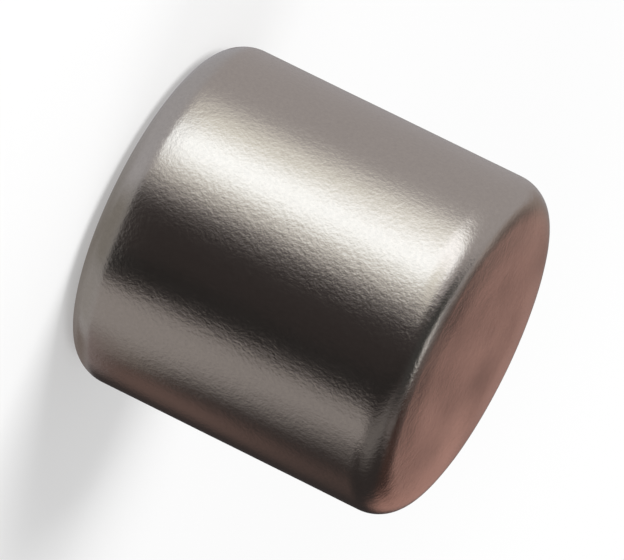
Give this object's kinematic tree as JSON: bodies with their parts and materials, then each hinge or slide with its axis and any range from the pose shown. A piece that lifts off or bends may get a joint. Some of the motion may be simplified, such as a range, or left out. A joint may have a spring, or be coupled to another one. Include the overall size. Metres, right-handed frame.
{
  "type": "cylinder magnet",
  "caption": "Small solid cylinder magnet with flat end faces, rounded edges and a satin nickel-plated finish.",
  "frame": {"origin": "centre of the end face that the magnet stands on", "axes": "+Z along the magnet's axis, from the end it stands on to the other end; +X and +Y are free, because the body is round"},
  "size_m": [0.005, 0.005, 0.005],
  "materials": {
    "nickel_plate": "satin nickel plating with a fine grain"
  },
  "bodies": {
    "root": {"magnet": "nickel_plate"}
  },
  "joints": []
}
